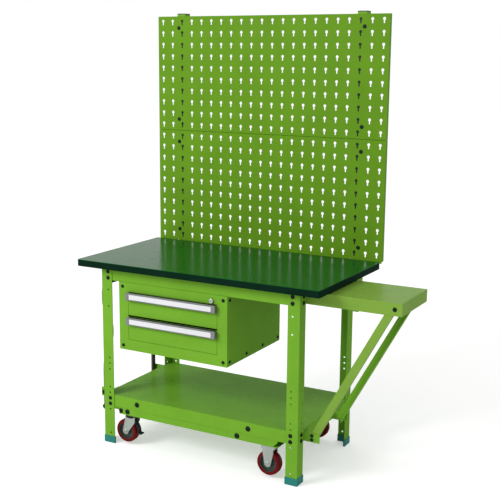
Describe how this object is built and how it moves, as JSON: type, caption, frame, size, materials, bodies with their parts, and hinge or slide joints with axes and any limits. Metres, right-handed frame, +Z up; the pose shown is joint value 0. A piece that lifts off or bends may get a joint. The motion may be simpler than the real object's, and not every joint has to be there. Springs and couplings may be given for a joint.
{
  "type": "assembly table",
  "caption": "Workshop assembly table with pegboard back, drawer cabinet, side shelf, bottom shelf and lever-lowered casters.",
  "frame": {"origin": "on the floor under the middle of the whole table's box", "axes": "+X to the right along the front edge, +Y to the back, +Z up"},
  "size_m": [1.382, 0.6538, 1.8],
  "materials": {
    "green_paint": "semi-gloss powder coat",
    "worktop_laminate": "smooth laminate",
    "worktop_edge": "edge band",
    "teal_rubber": "moulded",
    "red_tread": "polyurethane",
    "zinc_steel": "zinc plated",
    "chrome_tube": "polished",
    "black_plastic": "moulded",
    "handle_aluminium": "satin anodised"
  },
  "bodies": {
    "frame": {"bottom_shelf": "green_paint", "cabinet_front_frame": "green_paint", "cabinet_shell": "green_paint", "foot_cap_front_left": "teal_rubber", "foot_cap_front_right": "teal_rubber", "foot_cap_rear_left": "teal_rubber", "foot_cap_rear_right": "teal_rubber", "front_apron": "green_paint", "left_rail": "green_paint", "leg_front_left": "green_paint", "leg_front_right": "green_paint", "leg_rear_left": "green_paint", "leg_rear_right": "green_paint", "lever_bracket_front": "green_paint", "lever_bracket_rear": "green_paint", "lower_runner_left": "zinc_steel", "lower_runner_right": "zinc_steel", "peg_panel_lower": "green_paint", "peg_panel_upper": "green_paint", "post_bracket_left": "green_paint", "post_bracket_right": "green_paint", "post_cap_left": "black_plastic", "post_cap_right": "black_plastic", "post_left": "green_paint", "post_right": "green_paint", "rear_apron": "green_paint", "right_rail": "green_paint", "side_shelf": "green_paint", "strut_bracket_front": "green_paint", "strut_bracket_rear": "green_paint", "strut_front": "green_paint", "strut_rear": "green_paint", "top_board": "worktop_edge", "top_sheet": "worktop_laminate", "upper_runner_left": "zinc_steel", "upper_runner_right": "zinc_steel"},
    "upper_drawer": {"upper_drawer_front": "green_paint", "upper_drawer_box": "zinc_steel", "upper_drawer_handle": "handle_aluminium"},
    "lower_drawer": {"lower_drawer_front": "green_paint", "lower_drawer_box": "zinc_steel", "lower_drawer_handle": "handle_aluminium"},
    "lock": {"lock_barrel": "zinc_steel"},
    "lever": {"lever_tube": "chrome_tube", "lever_grip": "black_plastic"},
    "drag_links": {"drag_link_front": "green_paint", "drag_link_rear": "green_paint"},
    "left_arms": {"left_arms": "zinc_steel"},
    "right_arms": {"right_arms": "zinc_steel"},
    "carriage": {"carriage": "green_paint", "rigid_fork_front_right": "zinc_steel", "rigid_fork_rear_right": "zinc_steel"},
    "caster_front_left": {"swivel_fork_front_left": "zinc_steel"},
    "brake_front_left": {"brake_pedal_front_left": "black_plastic"},
    "caster_rear_left": {"swivel_fork_rear_left": "zinc_steel"},
    "brake_rear_left": {"brake_pedal_rear_left": "black_plastic"},
    "wheel_front_left": {"wheel_front_left": "red_tread"},
    "wheel_rear_left": {"wheel_rear_left": "red_tread"},
    "wheel_front_right": {"wheel_front_right": "red_tread"},
    "wheel_rear_right": {"wheel_rear_right": "red_tread"}
  },
  "joints": [
    {"name": "upper_drawer_slide", "type": "slide", "parent": "frame", "child": "upper_drawer", "axis": [0, -1, 0], "range_m": [0, 0.32]},
    {"name": "lower_drawer_slide", "type": "slide", "parent": "frame", "child": "lower_drawer", "axis": [0, -1, 0], "range_m": [0, 0.32]},
    {"name": "lock_turn", "type": "hinge", "parent": "frame", "child": "lock", "pos_m": [-0.067, -0.2849, 0.68433], "axis": [0, 1, 0], "range_deg": [0, 90]},
    {"name": "lever_swing", "type": "hinge", "parent": "frame", "child": "lever", "pos_m": [-0.643, -0.0344, 0.193], "axis": [0, -1, 0], "range_deg": [0, 30]},
    {"name": "drag_link_swing", "type": "hinge", "parent": "lever", "child": "drag_links", "pos_m": [-0.643, -0.0344, 0.127], "axis": [0, -1, 0], "range_deg": [-30, 0]},
    {"name": "left_arm_swing", "type": "hinge", "parent": "frame", "child": "left_arms", "pos_m": [-0.431, -0.0344, 0.19], "axis": [0, -1, 0], "range_deg": [0, 30]},
    {"name": "right_arm_swing", "type": "hinge", "parent": "frame", "child": "right_arms", "pos_m": [0.097, -0.0344, 0.19], "axis": [0, -1, 0], "range_deg": [0, 30]},
    {"name": "carriage_level", "type": "hinge", "parent": "left_arms", "child": "carriage", "pos_m": [-0.482, -0.0344, 0.15], "axis": [0, -1, 0], "range_deg": [-30, 0]},
    {"name": "caster_swivel_front_left", "type": "hinge", "parent": "carriage", "child": "caster_front_left", "pos_m": [-0.474, -0.2569, 0.12], "axis": [0, 0, 1], "continuous": true},
    {"name": "wheel_spin_front_left", "type": "hinge", "parent": "caster_front_left", "child": "wheel_front_left", "pos_m": [-0.496, -0.2569, 0.061], "axis": [0, 1, 0], "continuous": true},
    {"name": "brake_press_front_left", "type": "hinge", "parent": "caster_front_left", "child": "brake_front_left", "pos_m": [-0.462, -0.2569, 0.11], "axis": [0, 1, 0], "range_deg": [0, 6]},
    {"name": "caster_swivel_rear_left", "type": "hinge", "parent": "carriage", "child": "caster_rear_left", "pos_m": [-0.474, 0.1881, 0.12], "axis": [0, 0, 1], "continuous": true},
    {"name": "wheel_spin_rear_left", "type": "hinge", "parent": "caster_rear_left", "child": "wheel_rear_left", "pos_m": [-0.496, 0.1881, 0.061], "axis": [0, 1, 0], "continuous": true},
    {"name": "brake_press_rear_left", "type": "hinge", "parent": "caster_rear_left", "child": "brake_rear_left", "pos_m": [-0.462, 0.1881, 0.11], "axis": [0, 1, 0], "range_deg": [0, 6]},
    {"name": "wheel_spin_front_right", "type": "hinge", "parent": "carriage", "child": "wheel_front_right", "pos_m": [0.181, -0.2569, 0.061], "axis": [0, 1, 0], "continuous": true},
    {"name": "wheel_spin_rear_right", "type": "hinge", "parent": "carriage", "child": "wheel_rear_right", "pos_m": [0.181, 0.1881, 0.061], "axis": [0, 1, 0], "continuous": true}
  ],
  "couplings": [
    {"joint": "drag_link_swing", "follows": "lever_swing", "ratio": -1},
    {"joint": "left_arm_swing", "follows": "lever_swing", "ratio": 1},
    {"joint": "right_arm_swing", "follows": "lever_swing", "ratio": 1},
    {"joint": "carriage_level", "follows": "lever_swing", "ratio": -1}
  ]
}
